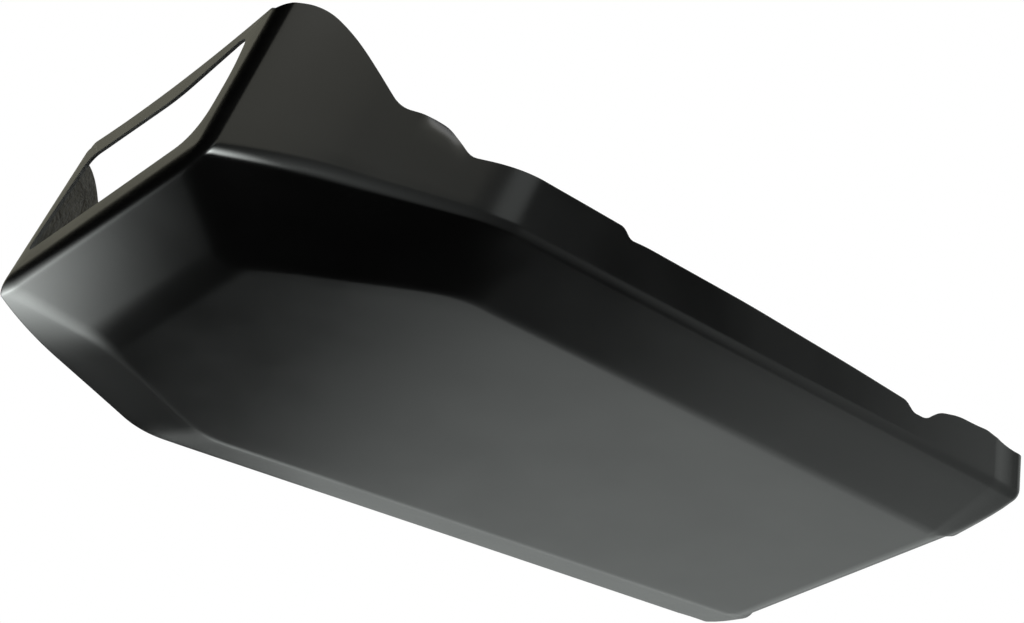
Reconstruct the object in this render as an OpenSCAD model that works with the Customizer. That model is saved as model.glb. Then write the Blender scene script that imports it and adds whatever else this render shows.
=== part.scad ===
// Belly pan for a motorcycle: one glass-fibre moulding, open at the top,
// with a raked frame and an air opening at its front end.
// Millimetres. +X is forward, +Y is the rider's left, +Z is up.
// The flat floor rests on Z = 0 and the origin is under the middle of the pan.

/* [Laminate] */
// Thickness of the laminate
wall = 2.5; // [2:0.25:4]

/* [Floor] */
// Floor line from the rear wall to the plane of the front frame
pan_length = 613; // [560:1:670]
// Distance from the frame back to the widest part of the floor
floor_front = 180; // [168:1:193]
// Length of the chin, where the floor turns up to the frame
chin_length = 64.5; // [53:0.5:78]
// Half width of the floor at the rear wall
floor_half_rear = 101; // [92:1:110]
// Half width of the floor at its widest
floor_half_bend = 140; // [130:1:150]
// Half width of the floor at the chin
floor_half_chin = 72; // [64:1:80]

/* [Sides] */
// Distance from the frame back to the bend where the sides are widest
wing_length = 156; // [148:1:163]
// Distance from the frame back to the waist of the front wing
waist_length = 38; // [34:1:42]
// Height of the crease between the lower bevel and the side wall
crease_height = 17.3; // [14:0.1:20]
// Half width at the crease by the rear wall
crease_half_rear = 159; // [152:1:168]
// Half width at the crease at the bend
crease_half_bend = 200; // [192:1:208]
// Half width at the crease at the waist of the front wing
crease_half_wing = 147.5; // [143.5:0.5:151.5]
// How far the side wall leans out, per millimetre of height
side_flare = 0.05; // [0:0.01:0.1]

/* [Front frame] */
// Lean of the frame towards the rear, in degrees
frame_lean = 17.6; // [12:0.1:22]
// Height of the lower edge of the frame
frame_foot = 31; // [26:1:36]
// Height of the upper edge of the frame at its middle
frame_head = 141; // [136:0.5:146]
// How much higher the frame is at its upper corners
frame_head_rise = 7; // [4:0.5:10]
// Half width of the frame at its foot
frame_half_foot = 121; // [116:1:126]
// Half width of the frame at its head
frame_half_head = 113.5; // [108:0.5:118]
// Rounding of the frame's upper corners
frame_corner = 4; // [3:0.5:8]
// Sideways drift of the hand-laid frame at its head
frame_sway = 8.5; // [0:0.5:10]
// Rise of the frame on its left and drop on its right
frame_tilt = 4.5; // [0:0.5:6]
// Share by which the hand-laid right side is wider at the frame
right_growth = 0.03; // [0:0.005:0.04]

/* [Rounding] */
// Reach of the fillet between frame and pan, measured on the frame
frame_fillet = 12.5; // [11:0.5:13]
// Reach of that fillet along the pan
frame_fillet_depth = 6; // [5:0.5:8]
// Fillet between the floor and the rear wall
rear_floor_fillet = 25; // [18:1:28]
// Fillet of the upright rear corners
rear_side_fillet = 6; // [5:0.5:7]
// Set-back of the rounding between floor and bevel
floor_set_back = 4.5; // [3:0.5:6]
// The same set-back at the chin
chin_set_back = 12; // [9:0.5:13]
// Set-back of the rounding at the crease
crease_set_back = 5.5; // [4:0.5:6.5]
// The same set-back at the front wing
wing_set_back = 8; // [6:0.5:9]

/* [Rim] */
// Inward roll of the rim at the tab behind the frame
curl_depth = 4; // [0:0.5:7]
// Distance from the frame back to the middle of that roll
curl_back = 109; // [103:1:115]
// Half length of that roll
curl_reach = 17; // [12:1:20]

/* [Hidden] */

lean = tan(frame_lean);
head_height = frame_head + frame_head_rise;
half_length = (pan_length - lean * frame_foot - 0.44 * frame_fillet_depth) / 2;
floor_bend = pan_length - floor_front;
chin_start = pan_length - chin_length;
side_bend = pan_length - wing_length;
curl_station = pan_length - curl_back;
// Station where the upright sections begin to lean like the frame.
lean_start = 180;

// The lists below are drawn for this length. A longer or shorter pan changes
// only in its plain middle part, so that its two ends keep their shapes.
drawn_length = 613;
MIDDLE = [130, 340];

function clamp01(t) = min(1, max(0, t));

function along(x) = x
    + (pan_length - drawn_length) * clamp01((x - MIDDLE[0]) / (MIDDLE[1] - MIDDLE[0]));

// Trimmed rim of the side: station, height, half length of the blend.
RIM_DRAWN = [
    [-5, 46.4, 0],
    [28, 49.8, 3],
    [37, 51.4, 3],
    [46, 50.6, 4],
    [64, 50.2, 6],
    [82, 45.8, 5],
    [93.5, 36.4, 4],
    [106, 36.4, 3],
    [112, 42, 3],
    [166, 45.3, 20],
    [255, 48.9, 20],
    [352, 49.6, 6],
    [365.5, 48.7, 3],
    [373.5, 54.6, 3],
    [441, 56, 15],
    [485.5, 57.6, 4],
    [501.5, 77.2, 4],
    [509, 79.6, 3],
    [531.5, 81.6, 6],
    [573, 126, 12],
    [592, 141.6, 9],
    [604, head_height - frame_corner, 6],
    [drawn_length, head_height - frame_corner, 0]
];
RIM = [for (p = RIM_DRAWN) [along(p[0]), p[1], p[2]]];

// Corners of the air opening: sideways, height, set-back of its rounding.
OPENING = [
    [-104.5, 55.5, 11],
    [-86.5, 127, 10],
    [-30, 125, 20],
    [20, 123, 16],
    [92, 139.5, 14],
    [99, 105, 12],
    [97.5, 55.5, 24]
];

// Heights below the rim where the side wall has a row of points.
RIM_ROWS = [0, 2.5, 6, 11];

// Stations of the body between the rear fillet and the frame fillet.
STATIONS_DRAWN = [
    27, 32, 37, 42, 52, 62, 70, 77, 84, 89, 94, 98, 102, 106, 109, 112, 116, 124,
    145, 175, 210, 250, 300, 345, 357, 362, 365, 368, 371, 374, 378, 390, 415,
    424, 433, 441, 449, 457, 465, 473, 480, 484, 488, 492, 496, 501, 506, 512,
    519, 524, 528, 533, 538, 544, 550, 557, 564, 571, 578, 585, 592, 598, 603
];
STATIONS = [for (x = STATIONS_DRAWN) along(x)];

// Outline lines of the section: station, value, half length of the blend.
FLOOR_HALF = [
    [0, floor_half_rear, 0],
    [floor_bend, floor_half_bend, 18],
    [chin_start, floor_half_chin, 14],
    [pan_length, frame_half_foot - 14, 0]
];
FLOOR_HEIGHT = [
    [0, 0, 0],
    [chin_start, 0, 14],
    [pan_length, frame_foot, 0]
];
CREASE_HALF = [
    [0, crease_half_rear, 0],
    [side_bend, crease_half_bend, 18],
    [pan_length - waist_length, crease_half_wing, 30],
    [pan_length, frame_half_foot, 0]
];
CREASE_HEIGHT = [
    [0, crease_height, 0],
    [side_bend, crease_height, 18],
    [pan_length, frame_foot + 2, 0]
];
// Side wall slope: change of half width per millimetre of height.
head_slope = (frame_half_head - frame_half_foot) / (head_height - frame_foot);
WALL_SLOPE = [
    [0, side_flare / 2, 0],
    [side_bend, side_flare, 18],
    [pan_length, head_slope, 0]
];

// A ramp that starts softly, over r millimetres each side of zero.
function ramp(t, r) = t <= -r ? 0 : t >= r ? t : (t + r) * (t + r) / (4 * r);

function slope(line, i) = (line[i + 1][1] - line[i][1]) / (line[i + 1][0] - line[i][0]);

function total(list, i = 0) = i >= len(list) ? 0 : list[i] + total(list, i + 1);

// Value of a bent line at x, with each bend blended over its own length.
function bent(x, line) =
    line[0][1] + slope(line, 0) * (x - line[0][0]) + total([
        for (i = [1:len(line) - 2])
            (slope(line, i) - slope(line, i - 1)) * ramp(x - line[i][0], line[i][2])
    ]);

function ease(a, b, x) = let (q = clamp01((x - a) / (b - a))) q * q * (3 - 2 * q);

// Shift of a corner so that its two sides move inwards by a and b.
function corner_shift(n, a, m, b) =
    [a * m[1] - b * n[1], b * n[0] - a * m[0]] / (n[0] * m[1] - n[1] * m[0]);

function unit(v) = v / norm(v);

function inward(v) = [-v[1], v[0]];

function curve(p, q, r, t) = (1 - t) * (1 - t) * p + 2 * t * (1 - t) * q + t * t * r;

// How much the rim rolls in at a station and a depth below the rim.
function curl(u, drop) =
    let (near = clamp01(1 - abs(u - curl_station) / curl_reach), deep = clamp01(1 - drop / 11))
    curl_depth * near * near * (3 - 2 * near) * deep * deep;

// Left half of a section, rim to middle, with every side moved inwards by "a".
function half_section(u, a) =
    let (
        c1 = [bent(u, FLOOR_HALF), bent(u, FLOOR_HEIGHT)],
        c2 = [bent(u, CREASE_HALF), bent(u, CREASE_HEIGHT)],
        up = unit([bent(u, WALL_SLOPE), 1]),
        out = unit(c2 - c1),
        k1 = c1 + corner_shift([0, 1], a, inward(out), a),
        k2 = c2 + corner_shift(inward(out), a, inward(up), a),
        top = bent(u, RIM),
        chin_share = ease(chin_start - 40, chin_start + 10, u),
        wing_share = ease(side_bend, pan_length - waist_length, u),
        s1 = min(
            floor_set_back + (chin_set_back - floor_set_back) * chin_share,
            0.45 * norm(k2 - k1)
        ),
        s2 = min(
            crease_set_back + (wing_set_back - crease_set_back) * wing_share,
            0.5 * norm(k2 - k1)
        ),
        wall_foot = k2 + s2 * up,
        low_row = top - RIM_ROWS[len(RIM_ROWS) - 1]
    )
    concat(
        [for (d = RIM_ROWS) k2 + up * (top - d - k2[1]) / up[1] - [curl(u, d), 0]],
        [k2 + up * ((low_row + wall_foot[1]) / 2 - k2[1]) / up[1]],
        [for (t = [0:0.25:1]) curve(wall_foot, k2, k2 - s2 * out, t)],
        [for (t = [1 / 3, 2 / 3]) (1 - t) * (k2 - s2 * out) + t * (k1 + s1 * out)],
        [for (t = [0:1 / 3:1.01]) curve(k1 + s1 * out, k1, k1 - [s1, 0], t)],
        [[k1[0] * 0.55, k1[1]]]
    );

HALF = len(RIM_ROWS) + 13;
ROW = 2 * HALF + 1;

// Moves a point of the leaning section into the shared frame.
function placed(u, p) =
    let (
        grow = ease(side_bend, pan_length, u) * max(0, p[1] - frame_foot)
            / (head_height - frame_foot),
        z = p[1] + frame_tilt * grow * p[0] / frame_half_head
    )
    [
        u - lean * ease(lean_start, floor_bend, u) * z - half_length,
        p[0] + frame_sway * grow,
        z
    ];

// Width of the right side, where the left side is 1.
function right_width(u) = 1 + right_growth * ease(side_bend, pan_length, u);

function mirrored(list, width) =
    [for (i = [len(list) - 1:-1:0]) [-list[i][0] * width, list[i][1]]];

function whole_section(u, a) =
    let (left = half_section(u, a))
    concat(left, [[0, bent(u, FLOOR_HEIGHT) + a]], mirrored(left, right_width(u)));

// How much deeper the rear fillet is at a point of the section than at the side.
function rear_extra(i) =
    let (j = i <= HALF ? i : 2 * HALF - i)
    (rear_floor_fillet - rear_side_fillet)
        * ease(len(RIM_ROWS) + 5, len(RIM_ROWS) + 10, j);

// One row of the rear fillet; at 90 degrees it lies in the rear wall.
function rear_row(skin, angle) =
    let (
        side = rear_side_fillet - skin,
        points = whole_section(0, skin + side * (1 - cos(angle)))
    )
    [
        for (i = [0:ROW - 1])
            let (extra = rear_extra(i))
            placed(
                skin + (side + extra) * (1 - sin(angle)),
                points[i] + [0, extra * (1 - cos(angle))]
            )
    ];

function body_row(skin, u) = [for (p = whole_section(u, skin)) placed(u, p)];

// One row of the fillet behind the frame; at 90 degrees it lies in the frame.
function front_row(skin, angle) =
    let (
        a = skin + (frame_fillet - skin) * (1 - cos(angle)),
        u = pan_length - skin - (frame_fillet_depth - skin) * (1 - sin(angle))
    )
    [for (p = whole_section(u, a)) placed(u, p)];

function shell_rows(skin) = concat(
    [for (angle = [90:-22.5:0]) rear_row(skin, angle)],
    [for (u = STATIONS) body_row(skin, u)],
    [for (angle = [0:22.5:90]) front_row(skin, angle)]
);

// Upper edge of the rear wall between its two corners.
REAR_TOP = [for (i = [0:5]) 1 - i / 2.5];

function rear_top(skin) =
    let (half = whole_section(0, rear_side_fillet)[0])
    [for (s = REAR_TOP) placed(skin, [s * (half[0] - 6), half[1]])];

// Upper edge of the frame, from its right corner to its left one.
HEAD_STEPS = 26;

function head_drop(y, half) =
    let (over = max(0, abs(y) - half + frame_corner))
    frame_corner - sqrt(max(0, frame_corner * frame_corner - over * over));

function frame_top(skin) =
    let (
        u = pan_length - skin,
        half = whole_section(u, frame_fillet)[0][0]
    )
    [
        for (i = [1:HEAD_STEPS - 1])
            let (y = -half * cos(180 * i / HEAD_STEPS))
            placed(u, [
                y < 0 ? y * right_width(u) : y,
                frame_head + frame_head_rise * pow(y / half, 2) - head_drop(y, half)
            ])
    ];

// Outline of the air opening, from the middle of its lower edge.
function opening_points() =
    let (n = len(OPENING), c = [for (q = OPENING) [q[0], q[1]]])
    concat(
        [[0, OPENING[0][1]]],
        [
            for (i = [0:n - 1], t = [0:0.2:1.01])
                let (
                    back = unit(c[(i + n - 1) % n] - c[i]),
                    on = unit(c[(i + 1) % n] - c[i])
                )
                curve(c[i] + OPENING[i][2] * back, c[i], c[i] + OPENING[i][2] * on, t)
        ]
    );

function opening_row(skin) = [
    for (p = opening_points())
        [pan_length - skin - lean * p[1] - half_length, p[0], p[1]]
];

// Angle of a point round the air opening, from its lower middle.
function turn(p) = (atan2(p[2] - 90, p[1]) * -1 + 270.001) % 360;

// Rising marks of a closed loop of points, from 0 to 360 degrees.
function marks(points, loop) = [
    for (i = [0:len(loop) - 1])
        i == 0 ? 0 : i == len(loop) - 1 ? 360 : turn(points[loop[i]])
];

// Faces between two rows whose points have the rising marks "a" and "b".
function below(marks, value) = len([
    for (i = [0:len(marks) - 2])
        if ((marks[i] + marks[i + 1]) / 2 < value) 1
]);

function joined(first, a, second, b) = concat(
    [
        for (i = [0:len(a) - 2])
            [first[i], first[i + 1], second[below(b, (a[i] + a[i + 1]) / 2)]]
    ],
    [
        for (i = [0:len(b) - 2])
            [first[below(a, (b[i] + b[i + 1]) / 2)], second[i + 1], second[i]]
    ]
);

function turned(faces) = [for (f = faces) [f[0], f[2], f[1]]];

function moved(faces, by) = [for (f = faces) [f[0] + by, f[1] + by, f[2] + by]];

// Band of faces from one edge of the outer skin to the same inner edge.
function band(edge, by) = [
    for (i = [0:len(edge) - 2], k = [0:1])
        k == 0
            ? [edge[i], edge[i + 1], edge[i + 1] + by]
            : [edge[i], edge[i + 1] + by, edge[i] + by]
];

function span(start, end) = [for (i = [start:end]) i];

function backwards(list) = [for (i = [len(list) - 1:-1:0]) list[i]];

module belly_pan() {
    rows = shell_rows(0);
    count = len(rows);
    tail = rear_top(0);
    head = frame_top(0);
    mouth = opening_row(0);
    outer = concat([for (r = rows) each r], tail, head, mouth);
    inner = concat(
        [for (r = shell_rows(wall)) each r],
        rear_top(wall),
        frame_top(wall),
        opening_row(wall)
    );
    size = len(outer);
    tail_start = count * ROW;
    head_start = tail_start + len(tail);
    mouth_start = head_start + len(head);
    last = (count - 1) * ROW;

    // Rows of the pan from the rear wall to the frame.
    skin = [
        for (r = [0:count - 2], v = [0:ROW - 2], k = [0:1])
            let (a = r * ROW + v, d = a + ROW)
            k == 0 ? [a, a + 1, d + 1] : [a, d + 1, d]
    ];
    // Rear wall, between its upper edge and the first row.
    rear_wall = joined(
        span(tail_start, head_start - 1),
        [for (p = tail) -p[1]],
        span(0, ROW - 1),
        [for (v = [0:ROW - 1]) -rows[0][v][1]]
    );
    // Frame, between its outline and the air opening.
    loop = concat(
        span(last + HALF, last + ROW - 1),
        span(head_start, mouth_start - 1),
        span(last, last + HALF)
    );
    ring = concat(span(mouth_start, size - 1), [mouth_start]);
    frame = joined(
        loop,
        marks(outer, loop),
        ring,
        marks(outer, ring)
    );
    left_rim = [for (r = [0:count - 1]) r * ROW];
    right_rim = [for (r = [count - 1:-1:0]) r * ROW + ROW - 1];
    rim = concat(
        left_rim,
        backwards(span(head_start, mouth_start - 1)),
        right_rim,
        backwards(span(tail_start, head_start - 1)),
        [0]
    );
    faces = concat(skin, rear_wall, frame);
    color("#2b2c2c")
        polyhedron(
            points = concat(outer, inner),
            faces = concat(
                faces,
                turned(moved(faces, size)),
                band(rim, size),
                band(ring, size)
            ),
            convexity = 6
        );
}

belly_pan();
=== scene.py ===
"""Visual model of a motorcycle belly pan: one glass-fibre moulding seen from below.

The pan is built from the same leaning sections as the solid model, at a finer
pitch, and gets three finishes: gel coat outside, bare laminate inside and a
trimmed edge along the rim and round the air opening.
"""
import logging
import math
from dataclasses import dataclass, field
from enum import Enum
from typing import Any, Sequence

import bmesh
import bpy
from mathutils import Matrix, Vector


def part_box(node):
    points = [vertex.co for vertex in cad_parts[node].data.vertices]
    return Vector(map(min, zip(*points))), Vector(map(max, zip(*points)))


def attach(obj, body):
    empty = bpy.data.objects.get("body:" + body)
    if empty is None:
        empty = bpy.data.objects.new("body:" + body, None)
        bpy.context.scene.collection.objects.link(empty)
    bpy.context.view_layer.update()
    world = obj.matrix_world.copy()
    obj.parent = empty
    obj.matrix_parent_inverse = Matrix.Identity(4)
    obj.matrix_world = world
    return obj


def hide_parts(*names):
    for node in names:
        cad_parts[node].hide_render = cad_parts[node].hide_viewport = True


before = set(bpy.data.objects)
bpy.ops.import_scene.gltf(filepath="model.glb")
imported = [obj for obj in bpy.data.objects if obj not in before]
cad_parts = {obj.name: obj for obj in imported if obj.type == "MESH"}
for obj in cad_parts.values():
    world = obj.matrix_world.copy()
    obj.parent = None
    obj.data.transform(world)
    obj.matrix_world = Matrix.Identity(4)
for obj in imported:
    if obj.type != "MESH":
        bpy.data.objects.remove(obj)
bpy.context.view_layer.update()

LOG = logging.getLogger("belly_pan")
MM = 0.001
# A noise pattern keeps mostly between these two heights.
NOISE_LOW, NOISE_HIGH = 0.3, 0.7

Point = tuple[float, float, float]
Flat = tuple[float, float]
Face = tuple[int, ...]
Socket = bpy.types.NodeSocket
Tree = bpy.types.NodeTree


class Surface(Enum):
    """The surfaces of the moulding, as slots of its mesh."""

    GEL_COAT = 0
    LAMINATE = 1
    EDGE = 2


def linear_colour(hex_code: str) -> tuple[float, float, float, float]:
    """Turns an sRGB hex colour into linear RGBA.

    Args:
        hex_code: Six hex digits with a leading hash sign.

    Returns:
        Linear red, green, blue and an alpha of 1.
    """
    parts = [int(hex_code[i:i + 2], 16) / 255 for i in (1, 3, 5)]
    red, green, blue = (
        c / 12.92 if c <= 0.04045 else ((c + 0.055) / 1.055) ** 2.4 for c in parts
    )
    return red, green, blue, 1.0


def add_node(tree: Tree, kind: str, inputs: dict[Any, Any] | None = None,
             **settings: Any) -> bpy.types.Node:
    """Adds a shader node with its settings, values and links.

    Args:
        tree: Node tree that gets the node.
        kind: Blender's name of the node type.
        inputs: Socket name or number to a value, or to an output socket to link.
        **settings: Properties of the node itself.

    Returns:
        The new node.
    """
    node = tree.nodes.new(kind)
    for name, value in settings.items():
        setattr(node, name, value)
    for key, value in (inputs or {}).items():
        if isinstance(value, Socket):
            tree.links.new(value, node.inputs[key])
        else:
            node.inputs[key].default_value = value
    return node


def new_material(name: str) -> tuple[bpy.types.Material, Tree]:
    """Makes an empty node material.

    Args:
        name: Name of the material.

    Returns:
        The material and its cleared node tree.
    """
    material = bpy.data.materials.new(name)
    material.use_nodes = True
    material.node_tree.nodes.clear()
    return material, material.node_tree


def own_place(tree: Tree) -> Socket:
    """Returns the place on the object itself, in metres."""
    return add_node(tree, "ShaderNodeTexCoord").outputs["Object"]


def noise(tree: Tree, place: Socket, grain_mm: float, detail: float,
          roughness: float = 0.5, distortion: float = 0.0) -> Socket:
    """Adds a noise pattern.

    Args:
        tree: Node tree of the material.
        place: Place on the part, in metres.
        grain_mm: Size of the coarsest grain.
        detail: Number of finer layers.
        roughness: Weight of each finer layer.
        distortion: Amount of swirl.

    Returns:
        The height of the pattern, from 0 to 1.
    """
    return add_node(
        tree, "ShaderNodeTexNoise",
        {"Vector": place, "Scale": 1 / (grain_mm * MM), "Detail": detail,
         "Roughness": roughness, "Distortion": distortion},
    ).outputs["Fac"]


def two_tone(tree: Tree, share: Socket, first: str, second: str) -> Socket:
    """Adds a blend of two hex colours.

    Args:
        tree: Node tree of the material.
        share: Share of the second colour.
        first: Hex colour at share 0.
        second: Hex colour at share 1.

    Returns:
        The blended colour.
    """
    return add_node(
        tree, "ShaderNodeMix",
        {"Factor": share, "A": linear_colour(first), "B": linear_colour(second)},
        data_type="RGBA",
    ).outputs["Result"]


def span(tree: Tree, value: Socket, source: Flat, target: Flat) -> Socket:
    """Maps a value from one span to another, and holds it at the ends.

    Args:
        tree: Node tree of the material.
        value: Value to map.
        source: Ends of the span that the value comes from.
        target: Ends of the span that it goes to.

    Returns:
        The mapped value.
    """
    return add_node(
        tree, "ShaderNodeMapRange",
        {"Value": value, "From Min": source[0], "From Max": source[1],
         "To Min": target[0], "To Max": target[1]},
    ).outputs["Result"]


def bump(tree: Tree, height: Socket, depth_mm: float, under: Socket | None = None) -> Socket:
    """Adds relief from a height.

    Args:
        tree: Node tree of the material.
        height: Height from 0 to 1.
        depth_mm: Real height of 1.
        under: Relief that this one lies on.

    Returns:
        The bent normal.
    """
    inputs = {"Height": height, "Strength": 1.0, "Distance": depth_mm * MM}
    if under is not None:
        inputs["Normal"] = under
    return add_node(tree, "ShaderNodeBump", inputs).outputs["Normal"]


def close_tree(tree: Tree, surface: Socket) -> None:
    """Sends a shader to the output of its material."""
    add_node(tree, "ShaderNodeOutputMaterial", {"Surface": surface})


@dataclass(frozen=True)
class GelCoat:
    """Black polyester gel coat, sprayed into a waxed mould.

    The mould leaves it smooth and satin, so broad soft reflections draw the
    shape, with a faint unevenness where the fibres print through.
    """

    colour: str = "#050505"
    worn_colour: str = "#080808"
    roughness: float = 0.235
    roughness_spread: float = 0.025
    ior: float = 1.5
    print_through_mm: float = 9.0
    print_through_height_mm: float = 0.010
    polish_mm: float = 70.0

    def material(self) -> bpy.types.Material:
        """Builds the finish.

        Returns:
            The finished material.
        """
        material, tree = new_material("gel_coat_black_moulded")
        place = own_place(tree)
        polish = noise(tree, place, self.polish_mm, 3.0, 0.55)
        grain = noise(tree, place, self.print_through_mm, 2.0)
        gloss = span(
            tree, polish, (NOISE_LOW, NOISE_HIGH),
            (self.roughness - self.roughness_spread, self.roughness + self.roughness_spread))
        shader = add_node(
            tree, "ShaderNodeBsdfPrincipled",
            {"Base Color": two_tone(tree, polish, self.colour, self.worn_colour),
             "Roughness": gloss, "IOR": self.ior,
             "Normal": bump(tree, grain, self.print_through_height_mm)},
        )
        close_tree(tree, shader.outputs["BSDF"])
        return material


@dataclass(frozen=True)
class GlassLaminate:
    """Bare back of a hand-laid glass-fibre mat, in black-pigmented resin.

    Rolled by hand, it stays rough: strands lie in all directions under thin
    resin and fold into wrinkles, which catch short broken glints.
    """

    colour: str = "#1c1a14"
    strand_colour: str = "#39362b"
    resin_tint: str = "#e7dbc9"
    roughness_span: Flat = (0.34, 0.54)
    ior: float = 1.4
    strand_length_mm: float = 34.0
    strand_width_mm: float = 1.8
    strand_height_mm: float = 0.5
    strand_swirl: float = 0.3
    strand_heights: Flat = (0.5, 0.72)
    layers: tuple[Flat, ...] = ((12, 20), (71, -35), (133, 50))
    wrinkle_mm: float = 13.0
    wrinkle_height_mm: float = 2.6

    def strands(self, tree: Tree, place: Socket, turn: float, tip: float) -> Socket:
        """Adds one layer of strands that lie in one direction.

        Args:
            tree: Node tree of the material.
            place: Place on the part, in metres.
            turn: Direction of the strands about the vertical, in degrees.
            tip: Slope of the strands out of the level, in degrees.

        Returns:
            The height of this layer, from 0 to 1.
        """
        turned = add_node(
            tree, "ShaderNodeMapping",
            {"Vector": place, "Rotation": (math.radians(tip), 0.0, math.radians(turn))},
            vector_type="TEXTURE",
        )
        along, across = 1 / (self.strand_length_mm * MM), 1 / (self.strand_width_mm * MM)
        stretched = add_node(
            tree, "ShaderNodeVectorMath",
            {0: turned.outputs["Vector"], 1: (along, across, across)},
            operation="MULTIPLY",
        )
        return add_node(
            tree, "ShaderNodeTexNoise",
            {"Vector": stretched.outputs["Vector"], "Scale": 1.0, "Detail": 1.0,
             "Distortion": self.strand_swirl},
        ).outputs["Fac"]

    def material(self) -> bpy.types.Material:
        """Builds the finish.

        Returns:
            The finished material.
        """
        material, tree = new_material("glass_fibre_laminate_hand_laid")
        place = own_place(tree)
        heap, *others = (self.strands(tree, place, turn, tip) for turn, tip in self.layers)
        for layer in others:
            heap = add_node(
                tree, "ShaderNodeMath", {0: heap, 1: layer}, operation="MAXIMUM"
            ).outputs["Value"]
        wrinkles = noise(tree, place, self.wrinkle_mm, 4.0, 0.6, 0.8)
        share = span(tree, heap, self.strand_heights, (0.0, 1.0))
        fine = bump(tree, heap, self.strand_height_mm)
        shader = add_node(
            tree, "ShaderNodeBsdfPrincipled",
            {"Base Color": two_tone(tree, share, self.colour, self.strand_colour),
             "Roughness": span(tree, wrinkles, (NOISE_LOW, NOISE_HIGH), self.roughness_span),
             "IOR": self.ior, "Specular Tint": linear_colour(self.resin_tint),
             "Normal": bump(tree, wrinkles, self.wrinkle_height_mm, fine)},
        )
        close_tree(tree, shader.outputs["BSDF"])
        return material


@dataclass(frozen=True)
class TrimmedEdge:
    """Cut edge of the laminate, sawn and then sanded.

    Sanding opens the resin, so the edge is matt and a little paler than the
    gel coat, with fine scratches.
    """

    colour: str = "#1d1d1c"
    scratch_colour: str = "#2e2e2c"
    roughness: float = 0.6
    ior: float = 1.5
    grit_mm: float = 0.8
    scratch_depth_mm: float = 0.08

    def material(self) -> bpy.types.Material:
        """Builds the finish.

        Returns:
            The finished material.
        """
        material, tree = new_material("laminate_edge_sanded")
        grit = noise(tree, own_place(tree), self.grit_mm, 3.0)
        shader = add_node(
            tree, "ShaderNodeBsdfPrincipled",
            {"Base Color": two_tone(tree, grit, self.colour, self.scratch_colour),
             "Roughness": self.roughness, "IOR": self.ior,
             "Normal": bump(tree, grit, self.scratch_depth_mm)},
        )
        close_tree(tree, shader.outputs["BSDF"])
        return material


def ease(start: float, end: float, x: float) -> float:
    """Returns a soft step from 0 at start to 1 at end."""
    q = min(1.0, max(0.0, (x - start) / (end - start)))
    return q * q * (3 - 2 * q)


def curve(p: Vector, q: Vector, r: Vector, t: float) -> Vector:
    """Returns the point at t on the curve from p to r that heads for q."""
    return (1 - t) * (1 - t) * p + 2 * t * (1 - t) * q + t * t * r


@dataclass(frozen=True)
class BentLine:
    """A line of straight stretches with softened bends.

    Each knot is a station, the value there and half the length of its blend.
    """

    knots: tuple[Point, ...]

    def at(self, x: float) -> float:
        """Follows the line to a station.

        Args:
            x: The station.

        Returns:
            The value there.
        """
        k = self.knots
        slopes = [(b[1] - a[1]) / (b[0] - a[0]) for a, b in zip(k, k[1:])]
        value = k[0][1] + slopes[0] * (x - k[0][0])
        for i in range(1, len(k) - 1):
            t, r = x - k[i][0], k[i][2]
            if t > -r:
                rise = t if t >= r else (t + r) ** 2 / (4 * r)
                value += (slopes[i] - slopes[i - 1]) * rise
        return value


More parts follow.
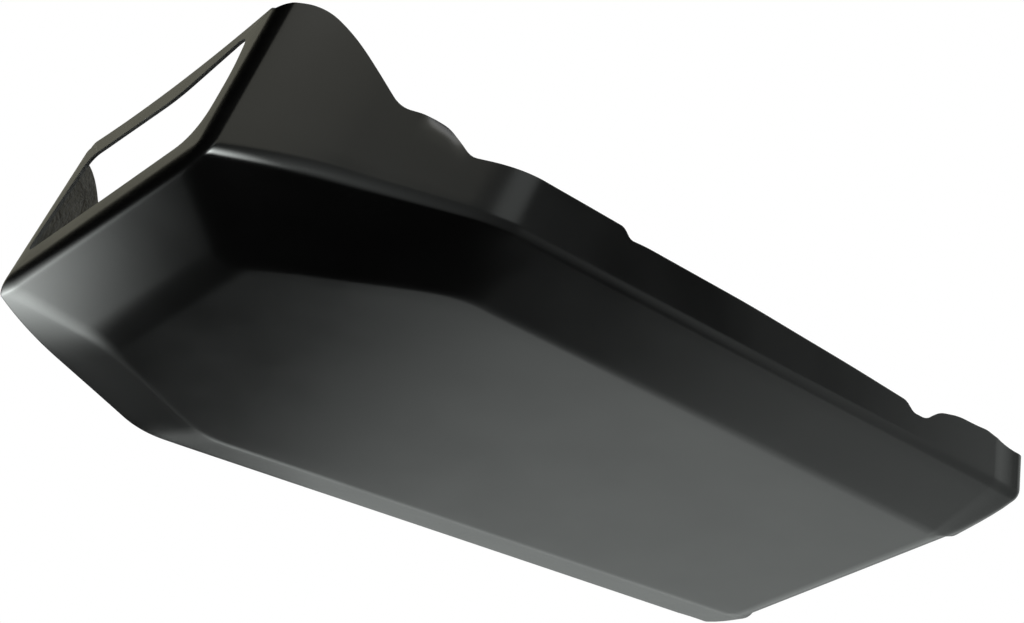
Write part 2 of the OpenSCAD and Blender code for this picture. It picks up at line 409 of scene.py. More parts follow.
@dataclass
class Section:
    """Cross-section of the pan and the way it leans, sways and tilts.

    All sizes are millimetres and equal those of the solid model. A set-back is
    the distance from a corner to the start of its rounding.
    """

    pan_length: float = 613.0
    side_bend: float = 457.0
    floor_bend: float = 433.0
    lean_start: float = 180.0
    lean: float = math.tan(math.radians(17.6))
    frame_foot: float = 31.0
    frame_head: float = 141.0
    frame_rise: float = 7.0
    frame_half_head: float = 113.5
    frame_sway: float = 8.5
    frame_tilt: float = 4.5
    right_growth: float = 0.03
    frame_corner: float = 4.0
    frame_fillet: float = 12.5
    fillet_depth: float = 6.0
    fillet_share: float = 0.44
    curl_depth: float = 4.0
    curl_station: float = 504.0
    curl_reach: float = 17.0
    chin_start: float = 548.5
    chin_blend: Flat = (-40.0, 10.0)
    waist: float = 575.0
    floor_set_back: float = 4.5
    chin_set_back: float = 12.0
    floor_limit: float = 0.45
    crease_set_back: float = 5.5
    wing_set_back: float = 8.0
    crease_limit: float = 0.5
    floor_half: BentLine = BentLine(
        ((0, 101, 0), (433, 140, 18), (548.5, 72, 14), (613, 107, 0)))
    floor_height: BentLine = BentLine(((0, 0, 0), (548.5, 0, 14), (613, 31, 0)))
    crease_half: BentLine = BentLine(
        ((0, 159, 0), (457, 200, 18), (575, 147.5, 30), (613, 121, 0)))
    crease_height: BentLine = BentLine(((0, 17.3, 0), (457, 17.3, 18), (613, 33, 0)))
    wall_slope: BentLine = BentLine(
        ((0, 0.025, 0), (457, 0.05, 18), (613, (113.5 - 121) / (148 - 31), 0)))
    rim: BentLine = BentLine((
        (-5, 46.4, 0), (28, 49.8, 3), (37, 51.4, 3), (46, 50.6, 4), (64, 50.2, 6),
        (82, 45.8, 5), (93.5, 36.4, 4), (106, 36.4, 3), (112, 42, 3), (166, 45.3, 20),
        (255, 48.9, 20), (352, 49.6, 6), (365.5, 48.7, 3), (373.5, 54.6, 3),
        (441, 56, 15), (485.5, 57.6, 4), (501.5, 77.2, 4), (509, 79.6, 3),
        (531.5, 81.6, 6), (573, 126, 12), (592, 141.6, 9), (604, 144, 6), (613, 144, 0)))
    rim_rows: tuple[float, ...] = (0, 1.2, 2.5, 4.2, 6, 8.4, 11)
    wall_rows: int = 4
    crease_steps: int = 12
    bevel_rows: int = 4
    floor_steps: int = 8
    floor_rows: int = 7

    @property
    def head_height(self) -> float:
        """Height of the frame at its upper corners."""
        return self.frame_head + self.frame_rise

    @property
    def half_length(self) -> float:
        """Distance of the origin from the rear wall."""
        rounded = self.fillet_share * self.fillet_depth
        return (self.pan_length - self.lean * self.frame_foot - rounded) / 2

    def floor_rounding(self, u: float) -> float:
        """Returns the set-back between floor and bevel at station u."""
        before, after = self.chin_blend
        share = ease(self.chin_start + before, self.chin_start + after, u)
        return self.floor_set_back + (self.chin_set_back - self.floor_set_back) * share

    def crease_rounding(self, u: float) -> float:
        """Returns the set-back at the crease at station u."""
        share = ease(self.side_bend, self.waist, u)
        return self.crease_set_back + (self.wing_set_back - self.crease_set_back) * share

    def right_width(self, u: float) -> float:
        """Returns the width of the right side at station u, where the left is 1."""
        return 1 + self.right_growth * ease(self.side_bend, self.pan_length, u)

    def curl(self, u: float, drop: float) -> float:
        """Tells how far the rim rolls in.

        Args:
            u: Station along the pan.
            drop: Depth below the rim.

        Returns:
            The way in, square to the pan's length.
        """
        near = min(1.0, max(0.0, 1 - abs(u - self.curl_station) / self.curl_reach))
        deep = min(1.0, max(0.0, 1 - drop / self.rim_rows[-1]))
        return self.curl_depth * near * near * (3 - 2 * near) * deep * deep

    def marks(self) -> list[float]:
        """Marks each point of a whole section with its place among the solid's points.

        The solid has points 0 to 3 at the rim, 5 to 9 round the crease, 12 to 15
        at the floor's rounding and 17 in the middle.

        Returns:
            The marks from the left rim to the middle and back to the right rim.
        """
        rim = [i / 2 for i in range(len(self.rim_rows))]
        wall = [3 + 2 * i / (self.wall_rows + 1) for i in range(1, self.wall_rows + 1)]
        crease = [5 + 4 * i / self.crease_steps for i in range(self.crease_steps + 1)]
        bevel = [9 + 3 * i / (self.bevel_rows + 1) for i in range(1, self.bevel_rows + 1)]
        floor = [12 + 3 * i / self.floor_steps for i in range(self.floor_steps + 1)]
        flat = [15 + 2 * i / (self.floor_rows + 1) for i in range(1, self.floor_rows + 1)]
        left = rim + wall + crease + bevel + floor + flat
        return left + [17] + left[::-1]

    def half(self, u: float, inset: float) -> list[Vector]:
        """Builds the left half of a section, from the rim to beside the middle.

        Args:
            u: Station along the pan.
            inset: How far every side is moved inwards.

        Returns:
            Points of half width and height.
        """
        c1 = Vector((self.floor_half.at(u), self.floor_height.at(u)))
        c2 = Vector((self.crease_half.at(u), self.crease_height.at(u)))
        up = Vector((self.wall_slope.at(u), 1)).normalized()
        out = (c2 - c1).normalized()
        k1 = c1 + self.corner_shift(Vector((0, 1)), Vector((-out.y, out.x)), inset)
        k2 = c2 + self.corner_shift(Vector((-out.y, out.x)), Vector((-up.y, up.x)), inset)
        bevel = (k2 - k1).length
        s1 = min(self.floor_rounding(u), self.floor_limit * bevel)
        s2 = min(self.crease_rounding(u), self.crease_limit * bevel)
        top = self.rim.at(u)
        foot = k2 + s2 * up
        low = top - self.rim_rows[-1]
        points = []
        for drop in self.rim_rows:
            points.append(k2 + up * ((top - drop - k2.y) / up.y) - Vector((self.curl(u, drop), 0)))
        for i in range(1, self.wall_rows + 1):
            z = low + (foot.y - low) * i / (self.wall_rows + 1)
            points.append(k2 + up * ((z - k2.y) / up.y))
        on, back = k2 - s2 * out, k1 + s1 * out
        for i in range(self.crease_steps + 1):
            points.append(curve(foot, k2, on, i / self.crease_steps))
        for i in range(1, self.bevel_rows + 1):
            points.append(on.lerp(back, i / (self.bevel_rows + 1)))
        end = k1 - Vector((s1, 0))
        for i in range(self.floor_steps + 1):
            points.append(curve(back, k1, end, i / self.floor_steps))
        for i in range(1, self.floor_rows + 1):
            share = 1 - i / (self.floor_rows + 1)
            points.append(Vector((end.x * share, end.y)))
        return points

    @staticmethod
    def corner_shift(n: Vector, m: Vector, inset: float) -> Vector:
        """Returns the shift of a corner whose sides, with normals n and m, move in by inset."""
        return Vector((inset * (m.y - n.y), inset * (n.x - m.x))) / (n.x * m.y - n.y * m.x)

    def whole(self, u: float, inset: float) -> list[Vector]:
        """Builds a whole section.

        Args:
            u: Station along the pan.
            inset: How far every side is moved inwards.

        Returns:
            Points of offset from the middle and height, from the left rim to the right.
        """
        left = self.half(u, inset)
        middle = Vector((0, self.floor_height.at(u) + inset))
        width = self.right_width(u)
        return left + [middle] + [Vector((-p.x * width, p.y)) for p in reversed(left)]

    def placed(self, u: float, p: Sequence[float]) -> Vector:
        """Places a point of a section, with the lean, sway and tilt of its station.

        Args:
            u: Station along the pan.
            p: Offset from the middle and height.

        Returns:
            The point in the shared frame, in millimetres.
        """
        grow = ease(self.side_bend, self.pan_length, u)
        grow *= max(0.0, p[1] - self.frame_foot) / (self.head_height - self.frame_foot)
        z = p[1] + self.frame_tilt * grow * p[0] / self.frame_half_head
        x = u - self.lean * ease(self.lean_start, self.floor_bend, u) * z - self.half_length
        return Vector((x, p[0] + self.frame_sway * grow, z))


def steps_between(a: Sequence[float], b: Sequence[float]) -> list[tuple[int, int, int]]:
    """Lists the triangles between two rows whose points have rising marks.

    Args:
        a: Marks of the first row.
        b: Marks of the second row.

    Returns:
        Row of the triangle's long side (0 or 1), its place there and its far point.
    """
    triangles = []
    i = j = 0
    while i < len(a) - 1 or j < len(b) - 1:
        next_a = (a[i] + a[i + 1]) / 2 if i < len(a) - 1 else math.inf
        next_b = (b[j] + b[j + 1]) / 2 if j < len(b) - 1 else math.inf
        if next_a <= next_b:
            triangles.append((0, i, j))
            i += 1
        else:
            triangles.append((1, j, i))
            j += 1
    return triangles


def zipped(first: Sequence[int], a: Sequence[float], second: Sequence[int],
           b: Sequence[float]) -> list[Face]:
    """Joins two rows of points with triangles.

    Args:
        first: Point numbers of the first row.
        a: Rising marks of the first row.
        second: Point numbers of the second row.
        b: Rising marks of the second row.

    Returns:
        The triangles as point numbers.
    """
    faces: list[Face] = []
    for row, i, far in steps_between(a, b):
        if row == 0:
            faces.append((first[i], first[i + 1], second[far]))
        else:
            faces.append((first[far], second[i + 1], second[i]))
    return faces


@dataclass(frozen=True)
class Numbers:
    """Point numbers of one skin, which holds its rows, tail, head and mouth in turn."""

    rows: int
    width: int
    tail_at: int
    head_at: int
    mouth_at: int
    size: int

    @property
    def last(self) -> int:
        """Number of the first point of the foremost row."""
        return (self.rows - 1) * self.width

    def rim(self) -> list[int]:
        """Returns the closed loop along the pan's outer edge."""
        return [
            *(r * self.width for r in range(self.rows)),
            *range(self.mouth_at - 1, self.head_at - 1, -1),
            *(r * self.width + self.width - 1 for r in range(self.rows - 1, -1, -1)),
            *range(self.head_at - 1, self.tail_at - 1, -1), 0,
        ]

    def mouth(self) -> list[int]:
        """Returns the closed loop round the air opening."""
        return [*range(self.mouth_at, self.size), self.mouth_at]

    def frame_loop(self) -> list[int]:
        """Returns the closed loop round the frame, from its lower middle."""
        half = (self.width - 1) // 2
        return [*range(self.last + half, self.last + self.width),
                *range(self.head_at, self.mouth_at),
                *range(self.last, self.last + half + 1)]


@dataclass
class BellyPan:
    """The moulding: two skins over the sections, closed along every trimmed edge."""

    name: str = "belly_pan_moulding"
    section: Section = field(default_factory=Section)
    laminate: float = 2.5
    pitch: float = 2.0
    fillet_steps: int = 12
    rear_floor_fillet: float = 25.0
    rear_side_fillet: float = 6.0
    rear_floor_marks: Flat = (9, 14)
    rear_shares: tuple[float, ...] = (0.2, 0.4, 0.6, 0.8)
    body_start: float = 27.0
    body_margin: float = 1.5
    edge_break: float = 0.35
    head_steps: int = 96
    tail_steps: int = 24
    tail_margin: float = 6.0
    corner_steps: int = 10
    mouth_height: float = 90.0
    merge_mm: float = 0.002
    sharp_degrees: float = 30.0
    opening: tuple[Point, ...] = (
        (-104.5, 55.5, 11), (-86.5, 127, 10), (-30, 125, 20), (20, 123, 16),
        (92, 139.5, 14), (99, 105, 12), (97.5, 55.5, 24))

    def rear_rows(self, skin: float) -> list[list[Vector]]:
        """Builds the rows over the rear fillet, from the rear wall forwards.

        Args:
            skin: Depth of the skin below the outer face.

        Returns:
            The rows of points.
        """
        s = self.section
        side = self.rear_side_fillet - skin
        extras = [(self.rear_floor_fillet - self.rear_side_fillet)
                  * ease(*self.rear_floor_marks, mark) for mark in s.marks()]
        rows = []
        for step in range(self.fillet_steps, -1, -1):
            angle = math.pi / 2 * step / self.fillet_steps
            opened, rise = 1 - math.sin(angle), 1 - math.cos(angle)
            points = s.whole(0, skin + side * rise)
            rows.append([
                s.placed(skin + (side + e) * opened, (p.x, p.y + e * rise))
                for p, e in zip(points, extras)
            ])
        for share in self.rear_shares:
            row = []
            for i, extra in enumerate(extras):
                u = (skin + side + extra) * (1 - share) + self.body_start * share
                row.append(s.placed(u, s.whole(u * share, skin)[i]))
            rows.append(row)
        return rows

    def rows(self, skin: float) -> list[list[Vector]]:
        """Builds all rows of one skin, from the rear wall to the frame.

        Args:
            skin: Depth of the skin below the outer face.

        Returns:
            The rows of points.
        """
        s = self.section
        rows = self.rear_rows(skin)
        body_end = s.pan_length - s.fillet_depth - self.body_margin
        count = round((body_end - self.body_start) / self.pitch)
        for i in range(count + 1):
            u = self.body_start + (body_end - self.body_start) * i / count
            rows.append([s.placed(u, p) for p in s.whole(u, skin)])
        for step in range(self.fillet_steps + 1):
            angle = math.pi / 2 * step / self.fillet_steps
            inset = skin + (s.frame_fillet - skin) * (1 - math.cos(angle))
            u = s.pan_length - skin - (s.fillet_depth - skin) * (1 - math.sin(angle))
            rows.append([s.placed(u, p) for p in s.whole(u, inset)])
        return rows

    def tail(self, skin: float) -> list[Vector]:
        """Builds the upper edge of the rear wall.

        Args:
            skin: Depth of the skin below the outer face.

        Returns:
            Points from left to right.
        """
        s = self.section
        corner = s.whole(0, self.rear_side_fillet)[0]
        reach = corner.x - self.tail_margin
        return [s.placed(skin, (reach * (1 - 2 * i / self.tail_steps), corner.y))
                for i in range(self.tail_steps + 1)]

    def head(self, skin: float) -> list[Vector]:
        """Builds the upper edge of the frame.

        Args:
            skin: Depth of the skin below the outer face.

        Returns:
            Points from right to left.
        """
        s = self.section
        u = s.pan_length - skin
        half = s.whole(u, s.frame_fillet)[0].x
        points = []
        for i in range(1, self.head_steps):
            y = -half * math.cos(math.pi * i / self.head_steps)
            over = max(0.0, abs(y) - half + s.frame_corner)
            drop = s.frame_corner - math.sqrt(max(0.0, s.frame_corner ** 2 - over ** 2))
            z = s.frame_head + s.frame_rise * (y / half) ** 2 - drop
            points.append(s.placed(u, (y * s.right_width(u) if y < 0 else y, z)))
        return points

    def mouth(self, skin: float) -> list[Vector]:
        """Builds the outline of the air opening.

        Args:
            skin: Depth of the skin below the outer face.

        Returns:
            Points all round, from the middle of the lower edge.
        """
        s = self.section
        corners = [Vector((c[0], c[1])) for c in self.opening]
        flat = [Vector((0, corners[0].y))]
        for i, corner in enumerate(corners):
            set_back = self.opening[i][2]
            back = (corners[i - 1] - corner).normalized() * set_back
            on = (corners[(i + 1) % len(corners)] - corner).normalized() * set_back
            for step in range(self.corner_steps + 1):
                flat.append(curve(corner + back, corner, corner + on, step / self.corner_steps))
        return [Vector((s.pan_length - skin - s.lean * p.y - s.half_length, p.x, p.y))
                for p in flat]

    def loop_marks(self, points: Sequence[Vector]) -> list[float]:
        """Marks a closed loop by its angle round the air opening.

        Args:
            points: Points of the loop, from its lower middle and back to it.

        Returns:
            Rising marks, from 0 to 360 degrees.
        """
        # The small extra turn keeps a point in the lower middle from reading 360.
        start = 270.001
        inner = [(start - math.degrees(math.atan2(p.z - self.mouth_height, p.y))) % 360
                 for p in points[1:-1]]
        return [0.0] + inner + [360.0]

    def skin_points(self, skin: float) -> tuple[list[Vector], Numbers]:
        """Builds the points of one skin.

        Args:
            skin: Depth of the skin below the outer face.

        Returns:
            The points in millimetres, and how they are numbered.
        """
        rows = self.rows(skin)
        tail, head, mouth = self.tail(skin), self.head(skin), self.mouth(skin)
        points = [p for row in rows for p in row]
        tail_at = len(points)
        head_at = tail_at + len(tail)
        mouth_at = head_at + len(head)
        numbers = Numbers(len(rows), len(rows[0]), tail_at, head_at, mouth_at,
                          mouth_at + len(mouth))
        return points + tail + head + mouth, numbers

    def skin_faces(self, points: Sequence[Vector], n: Numbers) -> list[Face]:
        """Builds the faces of one skin.

        Args:
            points: Points of the skin.
            n: Their numbers.

        Returns:
            Faces of the body, the rear wall and the frame.
        """
        body = [
            (at, at + 1, at + n.width + 1, at + n.width)
            for r in range(n.rows - 1) for at in range(r * n.width, (r + 1) * n.width - 1)
        ]
        tail, foot = range(n.tail_at, n.head_at), range(n.width)
        rear = zipped(tail, [-points[i].y for i in tail], foot, [-points[i].y for i in foot])
        loop, mouth = n.frame_loop(), n.mouth()
        front = zipped(loop, self.loop_marks([points[i] for i in loop]),
                       mouth, self.loop_marks([points[i] for i in mouth]))
        return body + rear + front

    def inward_ways(self, points: Sequence[Vector], n: Numbers) -> dict[int, Vector]:
        """Finds the way from each edge point into its own skin.

        Args:
            points: Points of the skin.
            n: Their numbers.

        Returns:
            Unit vectors by point number.
        """
        down_frame = Vector((self.section.lean, 0, -1)).normalized()
        ways = {}
        for i in n.rim():
            if i >= n.head_at:
                ways[i] = down_frame
            elif i >= n.tail_at:
                ways[i] = Vector((0, 0, -1))
            else:
                step = 1 if i % n.width == 0 else -1
                ways[i] = (points[i + step] - points[i]).normalized()
        mouth = n.mouth()
        centre = sum((points[i] for i in mouth[:-1]), Vector()) / (len(mouth) - 1)
        for i in mouth:
            ways[i] = (points[i] - centre).normalized()
        return ways

    def close_edge(self, edge: Sequence[int], skins: Sequence[Sequence[Vector]],
                   points: list[Vector]) -> list[Face]:
        """Closes one trimmed edge between the skins, with a small break on each side.

        Args:
            edge: Closed loop of point numbers.
            skins: Points of the outer and the inner skin.
            points: All points, which get the new ones.

        Returns:
            The faces across the edge.
        """
        size = len(skins[0])
        lips: tuple[dict[int, int], dict[int, int]] = ({}, {})
        for i in edge[:-1]:
            across = (skins[1][i] - skins[0][i]).normalized() * self.edge_break
            for lip, skin, way in zip(lips, skins, (across, -across)):
                lip[i] = len(points)
                points.append(skin[i] + way)
        faces: list[Face] = []
        for a, b in zip(edge, edge[1:]):
            here = (a, lips[0][a], lips[1][a], a + size)
            there = (b, lips[0][b], lips[1][b], b + size)
            faces += [(here[k], there[k], there[k + 1], here[k + 1]) for k in range(3)]
        return faces

    def build(self) -> bpy.types.Object:
        """Builds the mesh.

        Returns:
            The pan as one closed object, its faces marked for three material slots.
        """
        outer, n = self.skin_points(0.0)
        inner, _ = self.skin_points(self.laminate)
        skins = (outer, inner)
        points = outer + inner
        outside = self.skin_faces(outer, n)
        inside = [tuple(i + n.size for i in reversed(f)) for f in outside]
        edges = [face for edge in (n.rim(), n.mouth())
                 for face in self.close_edge(edge, skins, points)]
        for k, skin in enumerate(skins):
            for i, way in self.inward_ways(skin, n).items():
                points[i + k * n.size] = skin[i] + way * self.edge_break
        kinds = ([Surface.GEL_COAT] * len(outside) + [Surface.LAMINATE] * len(inside)
                 + [Surface.EDGE] * len(edges))
        return self.to_object(points, outside + inside + edges, kinds)

    def to_object(self, points: Sequence[Vector], faces: Sequence[Face],
                  kinds: Sequence[Surface]) -> bpy.types.Object:
        """Makes the object in metres, kept inside the solid's box.

        Args:
            points: Points in millimetres.
            faces: Faces as point numbers.
            kinds: Surface of each face.

        Returns:
            The object, linked to the scene and smoothed except at its edges.
        """
        low, high = (Vector(corner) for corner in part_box("belly_pan"))
        corners = [
            tuple(min(max(c * MM, lo), hi) for c, lo, hi in zip(p, low, high)) for p in points
        ]
        mesh = bpy.data.meshes.new(self.name)
        mesh.from_pydata(corners, [], faces)
        mesh.polygons.foreach_set("material_index", [k.value for k in kinds])
        work = bmesh.new()
        work.from_mesh(mesh)
        bmesh.ops.remove_doubles(work, verts=work.verts, dist=self.merge_mm * MM)
        bmesh.ops.recalc_face_normals(work, faces=work.faces)
        work.to_mesh(mesh)
        work.free()
        mesh.polygons.foreach_set("use_smooth", [True] * len(mesh.polygons))
        mesh.set_sharp_from_angle(angle=math.radians(self.sharp_degrees))
        obj = bpy.data.objects.new(self.name, mesh)
        bpy.context.scene.collection.objects.link(obj)
        return obj

    def dress(self, obj: bpy.types.Object) -> None:
        """Gives the moulding its three finishes."""
        for finish in (GelCoat(), GlassLaminate(), TrimmedEdge()):
            obj.data.materials.append(finish.material())

    def make(self) -> bpy.types.Object:
        """Builds and dresses the pan and ties it to the frame.

        Returns:
            The finished object.
        """
        obj = self.build()
        self.dress(obj)
        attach(obj, "root")
        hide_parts("belly_pan")
        return obj


@dataclass(frozen=True)
class Softbox:
    """One soft studio lamp that faces the pan.

    Sizes are metres, and radiance is relative to the white background.
    """

    name: str
    direction: Point
    distance: float
    size: Flat
    radiance: float

    def make(self, target: Vector) -> bpy.types.Object:
        """Builds the lamp.

        Args:
            target: Point that the lamp faces.

        Returns:
            The lamp, which the camera doesn't see.
        """
        data = bpy.data.lights.new(self.name, "AREA")
        data.shape = "RECTANGLE"
        data.size, data.size_y = self.size
        data.energy = self.radiance * math.pi * self.size[0] * self.size[1]
        lamp = bpy.data.objects.new(self.name, data)
        way = Vector(self.direction).normalized()
        lamp.location = target + way * self.distance
        lamp.rotation_euler = (-way).to_track_quat("-Z", "Y").to_euler()
        lamp.visible_camera = False
        bpy.context.scene.collection.objects.link(lamp)
        return lamp


def glow(tree: Tree, colour: str, radiance: float) -> Socket:
    """Adds an even light, and returns its shader."""
    return add_node(
        tree, "ShaderNodeEmission", {"Color": linear_colour(colour), "Strength": radiance}
    ).outputs["Emission"]


def blend(tree: Tree, share: Socket, first: Socket, second: Socket) -> Socket:
    """Adds a blend of two shaders, and returns it."""
    return add_node(
        tree, "ShaderNodeMixShader", {0: share, 1: first, 2: second}).outputs["Shader"]


def distance_out(tree: Tree) -> Socket:
    """Adds the distance from the object's own centre, and returns it."""
    return add_node(
        tree, "ShaderNodeVectorMath", {0: own_place(tree)}, operation="LENGTH"
    ).outputs["Value"]


def gloss_only(obj: bpy.types.Object) -> None:
    """Makes a piece of the studio show in gloss and nowhere else."""
    obj.visible_camera = False
    obj.visible_diffuse = False
    obj.visible_transmission = False
    obj.visible_shadow = False


@dataclass(frozen=True)
class Screen:
    """A curved studio screen round the pan's long axis.

    A black one is a flag, which keeps white out of the reflections as a
    photographer's flag does for a black object. A paler one is a scrim. Angles
    are degrees about the long axis: 0 straight down, 90 on the pan's right. The
    rear and front edges are metres along X per metre of radius.
    """

    name: str
    tone: float
    rear_edge: tuple[Flat, ...]
    front_edge: float
    radius: float = 3.0
    colour: str = "#f9fffc"
    steps: int = 48

    def rear_at(self, angle: float) -> float:
        """Follows the rear edge, which runs straight between the stated angles.

        Args:
            angle: Angle about the long axis, in degrees.

        Returns:
            The edge's place there.
        """
        knots = self.rear_edge
        for (a, x), (b, y) in zip(knots, knots[1:]):
            if angle <= b:
                return x + (y - x) * min(1.0, max(0.0, (angle - a) / (b - a)))
        return knots[-1][1]

    def make(self, centre: Vector) -> bpy.types.Object:
        """Builds the screen.

        Args:
            centre: Point of the axis that the edges are measured from.

        Returns:
            The screen, which shows in gloss only.
        """
        points, faces = [], []
        start, end = self.rear_edge[0][0], self.rear_edge[-1][0]
        for i in range(self.steps + 1):
            angle = start + (end - start) * i / self.steps
            y = -math.sin(math.radians(angle)) * self.radius
            z = -math.cos(math.radians(angle)) * self.radius
            for along in (self.rear_at(angle), self.front_edge):
                points.append(centre + Vector((along * self.radius, y, z)))
            if i:
                faces.append((2 * i - 2, 2 * i - 1, 2 * i + 1, 2 * i))
        mesh = bpy.data.meshes.new(self.name)
        mesh.from_pydata([tuple(p) for p in points], [], faces)
        obj = bpy.data.objects.new(self.name, mesh)
        bpy.context.scene.collection.objects.link(obj)
        material, tree = new_material("studio_screen_cloth")
        close_tree(tree, glow(tree, self.colour, self.tone))
        mesh.materials.append(material)
        gloss_only(obj)
        return obj


@dataclass(frozen=True)
class Reflector:
    """A round reflector close to the pan, bright in its middle and soft at its rim.

    Sizes are metres, and radiance is relative to the white background.
    """

    name: str
    place: Point
    radius: float
    radiance: float
    falloff: float
    facing: Point = (0.29, 0.0, 0.03)
    colour: str = "#f9fffc"
    steps: int = 48

    def make(self) -> bpy.types.Object:
        """Builds the reflector.

        Returns:
            The reflector, which shows in gloss only.
        """
        mesh = bpy.data.meshes.new(self.name)
        work = bmesh.new()
        bmesh.ops.create_circle(work, cap_ends=True, segments=self.steps, radius=self.radius)
        work.to_mesh(mesh)
        work.free()
        obj = bpy.data.objects.new(self.name, mesh)
        obj.location = self.place
        way = (Vector(self.facing) - Vector(self.place)).normalized()
        obj.rotation_euler = way.to_track_quat("Z", "Y").to_euler()
        bpy.context.scene.collection.objects.link(obj)
        material, tree = new_material("studio_reflector_cloth")
        inside = span(tree, distance_out(tree), (0.0, self.radius), (1.0, 0.0))
        soft = add_node(
            tree, "ShaderNodeMath", {0: inside, 1: self.falloff}, operation="POWER")
        clear = add_node(tree, "ShaderNodeBsdfTransparent")
        close_tree(tree, blend(tree, soft.outputs["Value"], clear.outputs["BSDF"],
                               glow(tree, self.colour, self.radiance)))
        mesh.materials.append(material)
        gloss_only(obj)
        return obj


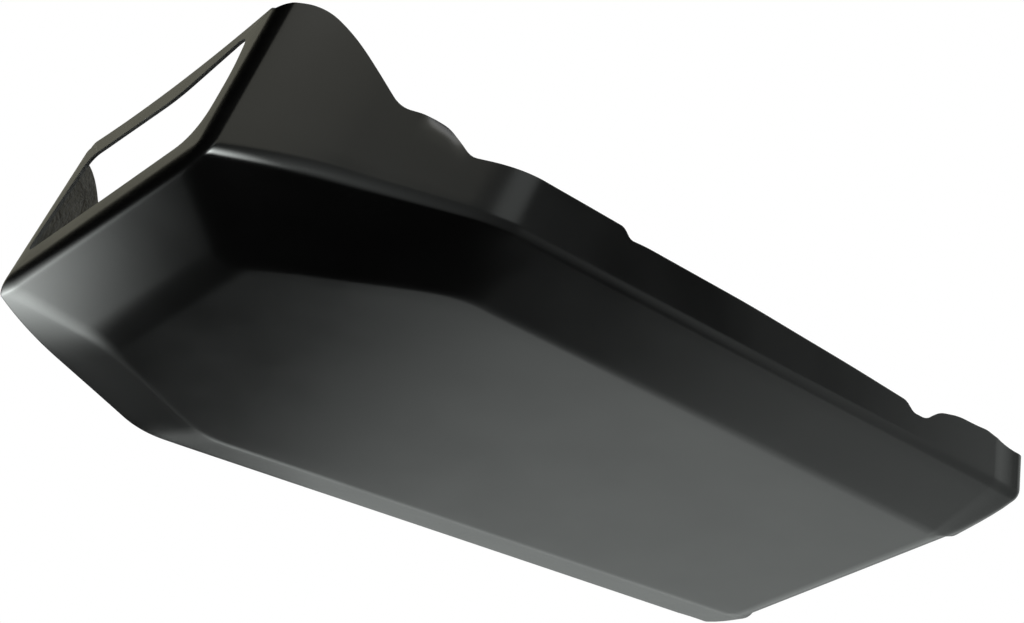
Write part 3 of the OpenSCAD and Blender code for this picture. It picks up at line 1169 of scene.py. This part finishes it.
@dataclass
class Studio:
    """Pale floor, white background, soft lamp, screens and the camera."""

    floor_colour: str = "#f4f4f2"
    floor_size: float = 14.0
    floor_drop: float = 0.0006
    fade_start: float = 0.9
    fade_end: float = 4.5
    room_light: float = 0.55
    room_colour: str = "#f9fffc"
    camera_place: Point = (1.00874, 1.51629, -0.86789)
    image_right: Point = (-0.799246, 0.592971, 0.097930)
    image_up: Point = (0.348876, 0.325074, 0.878984)
    lens_mm: float = 112.5
    sensor_mm: float = 36.0
    nearest: float = 0.01
    target: Point = (0.0, 0.0, 0.05)
    lamps: tuple[Softbox, ...] = (
        Softbox("softbox_ceiling", (0.1, 0.3, 1.0), 2.4, (1.6, 1.6), 1.4),
    )
    screens: tuple[Screen, ...] = (
        Screen("flag_below", 0.0,
               ((-105, -0.854), (-80, -0.736), (0, -0.824), (24, -0.721), (45, -0.622),
                (60, -0.483), (86, -0.324), (100, -0.499), (200, -0.356)), 6.0),
        Screen("flag_left", 0.0, ((-130, -0.05), (-105, -0.05)), 6.0),
        Screen("flag_left_rear", 0.0, ((-145, -1.05), (-105, -1.05)), -0.50),
        Screen("scrim_rear", 0.68, ((-105, -4.0), (25, -4.0)), -0.75, 3.1),
        Screen("scrim_rear_right", 0.95, ((25, -4.0), (58, -4.0)), -0.80, 3.1),
        Screen("scrim_right", 0.48, ((88, -4.0), (160, -4.0)), -0.40, 3.1),
        Screen("scrim_top_left", 0.75, ((-180, -0.1), (-128, -0.1)), 1.2, 3.1, "#fffff0"),
        Screen("scrim_frame", 0.42, ((116, -0.1), (140, -0.1)), 0.2, 2.9, "#fffde5"),
    )
    reflectors: tuple[Reflector, ...] = (
        Reflector("reflector_side", (0.175, -0.841, -0.234), 0.551, 1.1, 4.0),
        Reflector("reflector_chin", (0.355, -0.275, -0.024), 0.187, 11.0, 2.1),
        Reflector("reflector_wing", (0.294, 0.224, -0.022), 0.482, 1.1, 4.1),
        Reflector("reflector_corner", (0.412, 0.161, -0.049), 0.131, 30.0, 2.2),
    )

    def floor_paint(self) -> bpy.types.Material:
        """Builds the floor's material, which is clear from below.

        Returns:
            Matt paint that fades to the white of the background far from the pan.
        """
        material, tree = new_material("studio_floor_matt_paint")
        below = add_node(tree, "ShaderNodeNewGeometry").outputs["Backfacing"]
        paint = add_node(
            tree, "ShaderNodeBsdfDiffuse", {"Color": linear_colour(self.floor_colour)})
        share = add_node(
            tree, "ShaderNodeMapRange",
            {"Value": distance_out(tree), "From Min": self.fade_start,
             "From Max": self.fade_end, "To Min": 0.0, "To Max": 1.0},
            interpolation_type="SMOOTHSTEP")
        faded = blend(tree, share.outputs["Result"], paint.outputs["BSDF"],
                      glow(tree, "#ffffff", 1.0))
        clear = add_node(tree, "ShaderNodeBsdfTransparent")
        close_tree(tree, blend(tree, below, faded, clear.outputs["BSDF"]))
        return material

    def make_floor(self) -> bpy.types.Object:
        """Builds the floor, which is seen from above only.

        The photo looks at the pan from below, so the floor lets light and the
        camera through from that side. From above it is pale and takes shadows.

        Returns:
            The floor.
        """
        half, z = self.floor_size / 2, -self.floor_drop
        mesh = bpy.data.meshes.new("studio_floor")
        mesh.from_pydata(
            [(-half, -half, z), (half, -half, z), (half, half, z), (-half, half, z)],
            [], [(0, 1, 2, 3)])
        mesh.materials.append(self.floor_paint())
        floor = bpy.data.objects.new("studio_floor", mesh)
        bpy.context.scene.collection.objects.link(floor)
        floor.visible_glossy = False
        floor.visible_diffuse = False
        floor.visible_transmission = False
        floor.visible_shadow = False
        return floor

    def make_world(self) -> None:
        """Sets a white background for the camera and gloss, and an even room light."""
        world = bpy.data.worlds.new("studio_world")
        bpy.context.scene.world = world
        world.use_nodes = True
        tree = world.node_tree
        tree.nodes.clear()
        path = add_node(tree, "ShaderNodeLightPath").outputs
        shown = path["Is Camera Ray"]
        for kind in ("Is Glossy Ray", "Is Transmission Ray"):
            shown = add_node(
                tree, "ShaderNodeMath", {0: shown, 1: path[kind]}, operation="MAXIMUM"
            ).outputs["Value"]
        light = add_node(
            tree, "ShaderNodeBackground",
            {"Color": two_tone(tree, path["Is Glossy Ray"], "#ffffff", self.room_colour),
             "Strength": span(tree, shown, (0.0, 1.0), (self.room_light, 1.0))})
        add_node(tree, "ShaderNodeOutputWorld", {"Surface": light.outputs["Background"]})

    def make_camera(self) -> bpy.types.Object:
        """Places the camera as the photo's own, low at the pan's front left.

        Returns:
            The scene's camera.
        """
        data = bpy.data.cameras.new("studio_camera")
        data.sensor_fit = "HORIZONTAL"
        data.sensor_width = self.sensor_mm
        data.lens = self.lens_mm
        data.clip_start = self.nearest
        camera = bpy.data.objects.new("studio_camera", data)
        right, up = Vector(self.image_right), Vector(self.image_up)
        turn = Matrix((right, up, right.cross(up))).transposed().to_4x4()
        camera.matrix_world = Matrix.Translation(self.camera_place) @ turn
        bpy.context.scene.collection.objects.link(camera)
        bpy.context.scene.camera = camera
        return camera

    def make(self) -> None:
        """Builds the whole studio."""
        bpy.context.scene.view_settings.view_transform = "Standard"
        self.make_world()
        self.make_floor()
        self.make_camera()
        target = Vector(self.target)
        for lamp in self.lamps:
            lamp.make(target)
        for screen in self.screens:
            screen.make(target)
        for reflector in self.reflectors:
            reflector.make()


def main() -> None:
    """Builds the pan and its studio, and reports each piece."""
    logging.basicConfig(level=logging.INFO, format="%(message)s")
    pan = BellyPan().make()
    LOG.info("%s: %d faces", pan.name, len(pan.data.polygons))
    Studio().make()
    LOG.info("studio: floor, lamp, screens, reflectors and camera")


if __name__ == "__main__":
    main()
